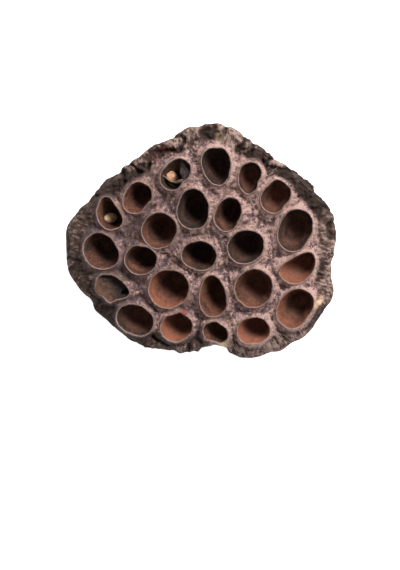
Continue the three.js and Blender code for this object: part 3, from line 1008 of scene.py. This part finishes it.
class Finish:
    """A material in the making, with short names for the nodes that it needs."""

    def __init__(self, name):
        self.material = bpy.data.materials.new(name)
        self.material.use_nodes = True
        self.tree = self.material.node_tree
        self.shader = self.tree.nodes["Principled BSDF"]

    def node(self, kind, inputs=(), **settings):
        """A new node with its settings, and a value or a link on each input that is named."""
        made = self.tree.nodes.new(kind)
        for name, value in settings.items():
            setattr(made, name, value)
        for name, value in dict(inputs).items():
            self.put(made.inputs[name], value)
        return made

    def put(self, socket, value):
        """Links an output to a socket, or sets a plain value on it."""
        if isinstance(value, bpy.types.NodeSocket):
            self.tree.links.new(value, socket)
        else:
            socket.default_value = value

    def mark(self, name):
        """One of the mesh's marks."""
        return self.node("ShaderNodeAttribute", attribute_name=name).outputs["Fac"]

    def place(self):
        """The place on the object."""
        return self.node("ShaderNodeTexCoord").outputs["Object"]

    def texture(self, place, size, detail, roughness, swirl):
        """Noise from 0 to 1 at a place, with bumps of a size, bent where it swirls."""
        made = self.node("ShaderNodeTexNoise", {
            "Vector": place, "Scale": 1 / size, "Detail": detail, "Roughness": roughness,
            "Distortion": swirl,
        })
        return made.outputs["Fac"]

    def noise(self, size, detail=2.0, roughness=0.5, stretch=(1, 1, 1), swirl=0.0):
        """Noise over the object, drawn out where the stretch is under 1."""
        mapping = self.node("ShaderNodeMapping", {"Vector": self.place(), "Scale": stretch})
        return self.texture(mapping.outputs["Vector"], size, detail, roughness, swirl)

    def fibres(self, width, stretch):
        """Noise drawn out away from the stem's axis."""
        centred = self.vector("SUBTRACT", self.place(), STEM_AXIS)
        level = self.vector("MULTIPLY", centred, (1, 1, 0))
        way = self.vector("MULTIPLY", self.vector("NORMALIZE", level), (Relief.OUTLINE_RADIUS,) * 3)
        across = self.node("ShaderNodeVectorMath", {0: level}, operation="LENGTH").outputs["Value"]
        height = self.node("ShaderNodeSeparateXYZ", {0: centred}).outputs["Z"]
        along = self.maths("MULTIPLY", self.maths("SUBTRACT", across, height), stretch)
        lifted = self.node("ShaderNodeCombineXYZ", {"Z": along}).outputs["Vector"]
        return self.texture(self.vector("ADD", way, lifted), width, 3.0, 0.5, 0.6)

    def vector(self, operation, first, second=(0, 0, 0)):
        """One sum on vectors."""
        made = self.node("ShaderNodeVectorMath", {0: first, 1: second}, operation=operation)
        return made.outputs["Vector"]

    def maths(self, operation, first, second):
        """One sum on two values."""
        return self.node("ShaderNodeMath", {0: first, 1: second}, operation=operation).outputs[0]

    def blend(self, start, *terms):
        """A start value plus each term times its weight."""
        total = start
        for value, weight in terms:
            total = self.maths("ADD", self.maths("MULTIPLY", value, weight), total)
        return total

    def span(self, value, low, high, to_low=0.0, to_high=1.0):
        """A value's share between low and high, smooth at both ends."""
        made = self.node("ShaderNodeMapRange", {
            "Value": value, "From Min": low, "From Max": high, "To Min": to_low, "To Max": to_high,
        }, interpolation_type="SMOOTHSTEP")
        return made.outputs["Result"]

    def mix(self, share, first, second):
        """A colour between two."""
        made = self.node("ShaderNodeMix", {"Factor": share}, data_type="RGBA")
        sockets = [socket for socket in made.inputs if socket.type == "RGBA"]
        for socket, value in zip(sockets, (first, second)):
            self.put(socket, value if isinstance(value, bpy.types.NodeSocket) else (*value, 1.0))
        return next(socket for socket in made.outputs if socket.type == "RGBA")

    def colour(self, value, roughness, specular=0.25):
        """Sets the colour and the sheen of the surface."""
        self.put(self.shader.inputs["Base Color"], value)
        self.shader.inputs["Roughness"].default_value = roughness
        self.shader.inputs["Specular IOR Level"].default_value = specular

    def bump(self, height, distance, strength):
        """Fine relief that the mesh is too coarse for."""
        made = self.node("ShaderNodeBump", {"Height": height, "Distance": distance, "Strength": strength})
        self.put(self.shader.inputs["Normal"], made.outputs["Normal"])


def face_colour(finish, colours, speckle):
    """Tan and mauve face, dark in its valleys and pits and pale on raised places: partly its own tone,
    partly painted shade in the hollows and painted light on the raised places and collars.
    """
    # Painted light: towards the right the face is painted paler and its speckle bolder.
    bleach = finish.mark("bleach")
    rough = finish.span(finish.noise(8 * MM, 2.0), 0.38, 0.62, 0.6, 1.4)
    rough = finish.blend(0.0, (rough, 1.0), (bleach, 0.55))
    # Painted shade and painted light: the relief mark darkens pits and creases and pales raised places.
    specks = finish.blend(-1.25, (speckle, 2.5), (finish.mark("relief"), 0.36))
    tone = finish.blend(
        -0.165,
        (finish.maths("MULTIPLY", specks, rough), 1.0),
        (finish.noise(1.7 * MM, 3.0, 0.6), 0.55),
        (finish.noise(6 * MM, 3.0), 0.45),
        (finish.mark("collar"), 0.2),
        (bleach, 0.32),
    )
    hue = finish.noise(3.2 * MM, 3.0)
    skin = finish.mix(finish.span(hue, 0.38, 0.62), colours.mauve, colours.face)
    face = finish.mix(finish.span(tone, 0.0, 0.4), colours.valley, skin)
    return finish.mix(finish.span(tone, 0.38, 0.72), face, colours.ridge)


def rim_colour(finish, colours, speckle):
    """Rim darkened partly by weathering and partly by painted shade, dark in its creases with painted
    shade, and grey tan where it is worn and with painted light on its raised lumps.
    """
    weather = finish.mark("weather")
    texture = finish.blend(-1.75, (speckle, 1.6), (finish.fibres(0.85 * MM, 0.25), 1.9))
    calm = finish.blend(1.2, (weather, -0.95))
    texture = finish.maths("MULTIPLY", texture, calm)
    tone = finish.blend(0.47, (finish.mark("relief"), 0.75), (texture, 1.0), (weather, -0.6))
    # Painted shade: the rim's creases are painted darker.
    crease = tuple(0.4 * part for part in colours.rim)
    rim = finish.mix(finish.span(tone, 0.0, 0.4), crease, colours.rim)
    return finish.mix(finish.span(tone, 0.35, 0.8), rim, colours.rim_light)


def side_colour(finish, colours):
    """Streaked side, paler on its ribs."""
    tone = finish.blend(0.0, (finish.fibres(1.6 * MM, 0.1), 1.0), (finish.mark("relief"), 0.25))
    return finish.mix(finish.span(tone, 0.4, 0.9), colours.rim, colours.rim_light)


def chamber_colour(finish, colours):
    """Stained red brown lining, browner towards the floor. All but the floor is darkened with painted
    shade.
    """
    depth = finish.mark("depth")
    fibres = finish.noise(0.9 * MM, 4.0, 0.7, (1.0, 1.0, 0.4), 0.8)
    stains = finish.noise(4.0 * MM, 2.0)
    wall_tone = finish.blend(-1.35, (fibres, 1.6), (stains, 1.1), (finish.mark("lining"), 1.0))
    wall = finish.mix(finish.span(wall_tone, 0.0, 1.2), colours.wall_dark, colours.wall)
    floor_tone = finish.blend(-1.1, (fibres, 1.0), (stains, 1.2), (finish.mark("silt"), 1.0))
    floor = finish.mix(finish.span(floor_tone, 0.0, 1.0), colours.wall_dark, colours.wall_deep)
    wall = finish.mix(finish.span(depth, 0.12, 0.65, 0.0, 0.88), wall, floor)
    # Painted shade: the walls are darkened by four tenths, fading out towards the bottom of the floor.
    return finish.mix(finish.span(depth, 0.7, 0.95, 0.4, 0.0), wall, (0.0, 0.0, 0.0))


def pod_finish(colours):
    """Dry spongy skin: the face, the rim, the side and the chambers, with pale lips and torn places."""
    finish = Finish("dry_pod_skin")
    speckle = finish.noise(0.85 * MM, 4.0, 0.7, swirl=1.4)
    skin = face_colour(finish, colours, speckle)
    skin = finish.mix(finish.mark("rim"), skin, rim_colour(finish, colours, speckle))
    side_share = finish.maths("MULTIPLY", finish.mark("side"), 0.8)
    skin = finish.mix(side_share, skin, side_colour(finish, colours))
    below = finish.span(finish.mark("depth"), 0.005, 0.07)
    skin = finish.mix(below, skin, chamber_colour(finish, colours))
    # Painted highlight: a pale line along each mouth's lip.
    lip_share = finish.maths("MULTIPLY", finish.mark("lip"), finish.span(speckle, 0.35, 0.6, 0.25, 0.85))
    skin = finish.mix(lip_share, skin, colours.lip)
    skin = finish.mix(finish.mark("pith"), skin, colours.pith)
    skin = finish.mix(finish.mark("blush"), skin, colours.blush)
    finish.colour(skin, 0.9, 0.2)
    fine = finish.noise(0.3 * MM, 2.0, 0.6)
    finish.bump(finish.blend(0.0, (speckle, 1.0), (fine, 0.5)), 0.7 * MM, 1.0)
    return finish.material


def mottled_finish(name, dark, light, size, roughness=0.7):
    """A thin dry skin of two mingled colours."""
    finish = Finish(name)
    tone = finish.noise(size, 3.0, 0.6)
    finish.colour(finish.mix(finish.span(tone, 0.32, 0.68), dark, light), roughness)
    finish.bump(finish.noise(0.3 * MM, 3.0), 0.1 * MM, 0.6)
    return finish.material


class LOTUS_OT_lay_husks(bpy.types.Operator):
    """Lay the shrivelled seeds in their chambers"""

    bl_idname = "lotus.lay_husks"
    bl_label = "Lay seed husks"

    SIDES = 40
    RINGS = 28
    LEAN = {"seed_husk_upper": (-1.9 * MM, 1.2 * MM), "seed_husk_left": (-1.5 * MM, -0.3 * MM)}
    SKINS = {
        "seed_husk_upper": ("seed_skin", (0.52, 0.25, 0.13), (0.95, 0.57, 0.37)),
        # Painted light: the left seed lies in shade, so its skin is a paler copy of the other seed's
        # colours.
        "seed_husk_left": ("seed_skin_with_painted_light", (0.85, 0.46, 0.26), (1.0, 0.74, 0.48)),
    }
    MOTTLE = 1.6 * MM
    SHEEN = 0.5
    FURROW_STRETCH = np.array([1, 1, 0.35])

    def execute(self, context):
        for node, (name, dark, light) in self.SKINS.items():
            piece = self.husk(node, mottled_finish(name, dark, light, self.MOTTLE, self.SHEEN))
            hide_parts(node)
        return {"FINISHED"}

    def husk(self, node, material):
        """A wrinkled seed along the long axis of its solid."""
        corners = np.array([vertex.co for vertex in frame["nodes"][node].data.vertices])
        middle = (corners.min(axis=0) + corners.max(axis=0)) / 2
        _, axes = np.linalg.eigh(np.cov((corners - middle).T))
        axes[:, 0] *= np.linalg.det(axes)
        spans = np.ptp((corners - middle) @ axes, axis=0) / 2
        lowest, highest = corners[:, 2].min(), corners[:, 2].max()

        def place(local):
            """Puts places along the seed's axes where the seed lies, with its upper end leaning over."""
            places = local @ axes.T + middle
            places[:, :2] += np.outer((places[:, 2] - lowest) / (highest - lowest), self.LEAN[node])
            return places

        skin = Skin()
        rings = []
        turn = TAU * np.arange(self.SIDES) / self.SIDES
        for ring in range(1, self.RINGS):
            along = math.pi * ring / self.RINGS
            local = np.column_stack([
                spans[0] * math.sin(along) * np.cos(turn),
                spans[1] * math.sin(along) * np.sin(turn),
                np.full(self.SIDES, spans[2] * math.cos(along)),
            ])
            furrow = np.abs(noise(local * self.FURROW_STRETCH, *NOISES["furrows"]))
            local[:, :2] *= (0.96 + 0.12 * furrow)[:, None]
            rings.append(skin.add(place(local)))
        top = skin.add(place(np.array([[0, 0, spans[2]]])))[0]
        foot = skin.add(place(np.array([[0, 0, -spans[2]]])))[0]
        for upper, lower in zip(rings, rings[1:]):
            skin.bridge(upper, lower)
        skin.close(rings[-1], foot)
        skin.close(rings[0][::-1], top)
        return skin.object(node.replace("seed_husk", "dry_seed"), material)


# Torn strips of membrane, each between two edges: places in millimetres, seen from above, and how
# far below the mouth they lie.
POCKET_EDGE = [
    (-13.5, 23.0, 3.0), (-11.9, 21.7, 3.6), (-10.1, 20.7, 3.9), (-8.5, 20.3, 3.7), (-6.9, 20.6, 3.0),
]
POCKET_FOOT = [
    (-13.2, 22.6, 5.5), (-11.9, 21.3, 7.5), (-10.1, 20.4, 8.0), (-8.6, 20.0, 7.5), (-7.1, 20.2, 5.5),
]
FLAP_RIGHT = [(-6.4, 28.1, 2.6), (-5.6, 26.4, 2.6), (-4.7, 24.8, 2.4), (-3.9, 23.3, 2.0)]
FLAP_LEFT = [(-6.7, 28.0, 2.9), (-7.0, 25.5, 4.2), (-7.1, 23.2, 4.6), (-5.9, 20.4, 3.2)]
WISP_EDGE = [(-8.4, 20.5, 2.6), (-7.4, 21.1, 2.2), (-6.3, 21.4, 2.0)]
WISP_FOOT = [(-8.6, 20.2, 3.7), (-7.4, 20.5, 2.8), (-5.8, 20.5, 3.1)]


class LOTUS_OT_dry_membranes(bpy.types.Operator):
    """Stretch the torn membranes in two chambers"""

    bl_idname = "lotus.dry_membranes"
    bl_label = "Dry membranes"

    ROWS = 16
    COLUMNS = 40
    THICKNESS = 0.14 * MM
    WRINKLE = 0.25 * MM
    FLOOR_ROWS = 30
    FLOOR_INSET = 0.2 * MM
    FLOOR_TIP = 0.02
    FLOOR_DROP = 0.7 * MM
    FLOOR_SAG = 1.5 * MM
    FLOOR_TILT = 0.9 * MM
    FIBRE_HEIGHT = 0.16 * MM
    HOLE = np.array([-26.5, -18.0]) * MM
    HOLE_AXES = np.array([[0.88, -0.47], [0.47, 0.88]])
    HOLE_SIZE = np.array([1.6, 0.7]) * MM
    HOLE_DEPTH = 3 * MM

    # Dark and light colour of each film.
    PALE = ((0.34, 0.26, 0.20), (0.60, 0.50, 0.42))
    DUSKY = ((0.085, 0.058, 0.060), (0.170, 0.120, 0.125))
    SUNKEN = ((0.021, 0.015, 0.013), (0.105, 0.050, 0.031))

    def execute(self, context):
        relief = relief_of(context.scene.lotus_form)
        chambers = {chamber.name: chamber for chamber in relief.chambers}
        pale = mottled_finish("pale_membrane", *self.PALE, 1.2 * MM)
        dusky = mottled_finish("dusky_membrane", *self.DUSKY, 1.5 * MM)
        upper = relief.mouth_level(chambers["seed_chamber_02"])
        self.strip("pocket_membrane", POCKET_EDGE, POCKET_FOOT, upper, pale)
        self.strip("pocket_wisp", WISP_EDGE, WISP_FOOT, upper, pale)
        self.strip("pocket_flap", FLAP_RIGHT, FLAP_LEFT, upper, dusky)
        sunken = chambers["seed_chamber_20"]
        self.floor("sunken_membrane", sunken, relief.mouth_level(sunken))
        return {"FINISHED"}

    def strip(self, name, first, second, level, material):
        """A wrinkled sheet between two edges."""
        grid = np.zeros((self.ROWS, self.COLUMNS, 3))
        along = np.linspace(0, 1, self.COLUMNS)
        edges = []
        for edge in (first, second):
            corners = np.array(edge) * MM * np.array([1, 1, -1]) + np.array([0, 0, level])
            places = np.linspace(0, 1, len(corners))
            edges.append(np.column_stack([np.interp(along, places, column) for column in corners.T]))
        for row, share in enumerate(np.linspace(0, 1, self.ROWS)):
            grid[row] = (1 - share) * edges[0] + share * edges[1]
        flat = grid.reshape(-1, 3)
        flat += self.WRINKLE * noise3(flat, *NOISES["film"])
        skin = Skin()
        skin.sheet(flat.reshape(grid.shape), self.THICKNESS)
        skin.object(name, material)

    def floor(self, name, chamber, level):
        """A fibrous membrane that has sunk into a chamber's mouth, with a hole at its right end."""
        grid = []
        lining = []
        mouth = chamber.mouth(self.FLOOR_INSET)
        for share in np.linspace(1, self.FLOOR_TIP, self.FLOOR_ROWS):
            ring = chamber.middle + share * (mouth - chamber.middle)
            gap = np.hypot(*((ring - self.HOLE) @ self.HOLE_AXES / self.HOLE_SIZE).T)
            hole = 1 - rise(gap, 0.7, 1.15)
            sideways, upward = ((ring - chamber.middle) / chamber.reach.max()).T
            tilt = self.FLOOR_TILT * rise(upward + 0.6 * sideways, -0.1, 0.7)
            sag = self.FLOOR_DROP + self.FLOOR_SAG * (1 - share ** 2) + tilt
            fibres = noise(np.column_stack([ring, 0.4 * ring[:, 0]]), *NOISES["film_fibres"])
            height = level - sag - self.HOLE_DEPTH * hole + self.FIBRE_HEIGHT * fibres
            grid.append(np.column_stack([ring, height]))
            # Partly the film's own tone, partly painted light and shade: it is painted paler towards the
            # lower left, darker towards the upper right, and darkest in its hole.
            lining.append(np.clip(0.3 - 0.8 * sideways - 0.6 * upward + 0.35 * fibres, 0, 1) * (1 - hole))
        skin = Skin()
        rings = [skin.add(ring, lining=share) for ring, share in zip(grid, lining)]
        for outer, inner in zip(rings, rings[1:]):
            skin.bridge(outer, inner)
        tip = skin.add(grid[-1].mean(axis=0)[None, :], lining=lining[-1].mean())
        skin.close(rings[-1], tip[0])
        finish = Finish("sunken_membrane_skin")
        mottle = finish.noise(0.9 * MM, 4.0, 0.65)
        tone = finish.blend(-0.3, (finish.mark("lining"), 0.9), (mottle, 0.6))
        finish.colour(finish.mix(finish.span(tone, 0.0, 0.8), *self.SUNKEN), 0.8)
        finish.bump(mottle, 0.3 * MM, 0.8)
        skin.object(name, finish.material)


class LOTUS_OT_set_stage(bpy.types.Operator):
    """Set the camera, the white floor and the soft light"""

    bl_idname = "lotus.set_stage"
    bl_label = "Set stage"

    FLOOR_SIZE = 3.0
    SENSOR = 36.0
    WIDEST_HEIGHT = 39 * MM
    KEY_DISTANCE = 0.9
    FLOOR_COLOUR = (0.9, 0.9, 0.9, 1)
    WHITE = (1, 1, 1, 1)

    def execute(self, context):
        scene = context.scene
        studio = scene.lotus_studio
        scene.view_settings.view_transform = "Standard"
        self.set_camera(scene, studio)
        self.lay_floor(studio)
        self.set_lights(scene, studio)
        return {"FINISHED"}

    def set_camera(self, scene, studio):
        """Looks straight down, with the pod where the picture has it."""
        data = bpy.data.cameras.new("camera")
        data.sensor_width = self.SENSOR
        data.lens = self.SENSOR * studio.camera_distance / (PICTURE_HEIGHT * PIXEL)
        camera = link("camera", data)
        right = (PICTURE_WIDTH / 2 - POD_COLUMN) * PIXEL
        up = (POD_ROW - PICTURE_HEIGHT / 2) * PIXEL
        camera.location = (right, up, self.WIDEST_HEIGHT + studio.camera_distance)
        scene.camera = camera

    def lay_floor(self, studio):
        """A white floor that glows a little."""
        half = self.FLOOR_SIZE / 2
        mesh = bpy.data.meshes.new("floor")
        corners = [(-half, -half, 0), (half, -half, 0), (half, half, 0), (-half, half, 0)]
        mesh.from_pydata(corners, [], [(0, 1, 2, 3)])
        floor = link("floor", mesh)
        white = Finish("white_floor")
        white.colour(self.FLOOR_COLOUR, 0.9)
        white.shader.inputs["Emission Color"].default_value = self.WHITE
        white.shader.inputs["Emission Strength"].default_value = studio.floor_glow
        mesh.materials.append(white.material)

    def set_lights(self, scene, studio):
        """One soft key light and an even fill."""
        world = bpy.data.worlds.new("studio")
        scene.world = world
        world.use_nodes = True
        background = world.node_tree.nodes["Background"]
        background.inputs["Color"].default_value = self.WHITE
        background.inputs["Strength"].default_value = studio.fill_strength
        data = bpy.data.lights.new("key", "AREA")
        data.shape = "DISK"
        data.size = studio.key_size
        data.energy = studio.key_power
        key = link("key", data)
        level = math.cos(studio.key_rise)
        right = level * math.cos(studio.key_turn)
        up = level * math.sin(studio.key_turn)
        way = Vector((right, up, math.sin(studio.key_rise)))
        key.location = self.KEY_DISTANCE * way
        key.rotation_euler = way.to_track_quat("Z", "Y").to_euler()


class LOTUS_PT_panel(bpy.types.Panel):
    """Sizes, colours and steps of the lotus pod"""

    bl_idname = "LOTUS_PT_panel"
    bl_label = "Lotus pod"
    bl_space_type = "VIEW_3D"
    bl_region_type = "UI"
    bl_category = "Lotus pod"

    def draw(self, context):
        scene = context.scene
        for settings in (scene.lotus_form, scene.lotus_colours, scene.lotus_studio):
            for name in settings.__annotations__:
                self.layout.prop(settings, name)
        for step in STEPS:
            self.layout.operator(step.bl_idname)


STEPS = (LOTUS_OT_grow_pod, LOTUS_OT_lay_husks, LOTUS_OT_dry_membranes, LOTUS_OT_set_stage)
CLASSES = (PodForm, PodColours, StudioSettings, *STEPS, LOTUS_PT_panel)


def register():
    """Registers the add-on and its settings."""
    for each in CLASSES:
        bpy.utils.register_class(each)
    bpy.types.Scene.lotus_form = bpy.props.PointerProperty(type=PodForm)
    bpy.types.Scene.lotus_colours = bpy.props.PointerProperty(type=PodColours)
    bpy.types.Scene.lotus_studio = bpy.props.PointerProperty(type=StudioSettings)


def unregister():
    """Takes the add-on and its settings away."""
    del bpy.types.Scene.lotus_form
    del bpy.types.Scene.lotus_colours
    del bpy.types.Scene.lotus_studio
    for each in reversed(CLASSES):
        bpy.utils.unregister_class(each)


def main():
    """Builds the dressed pod and its studio."""
    register()
    bpy.ops.lotus.grow_pod()
    bpy.ops.lotus.lay_husks()
    bpy.ops.lotus.dry_membranes()
    bpy.ops.lotus.set_stage()


if __name__ == "__main__":
    main()
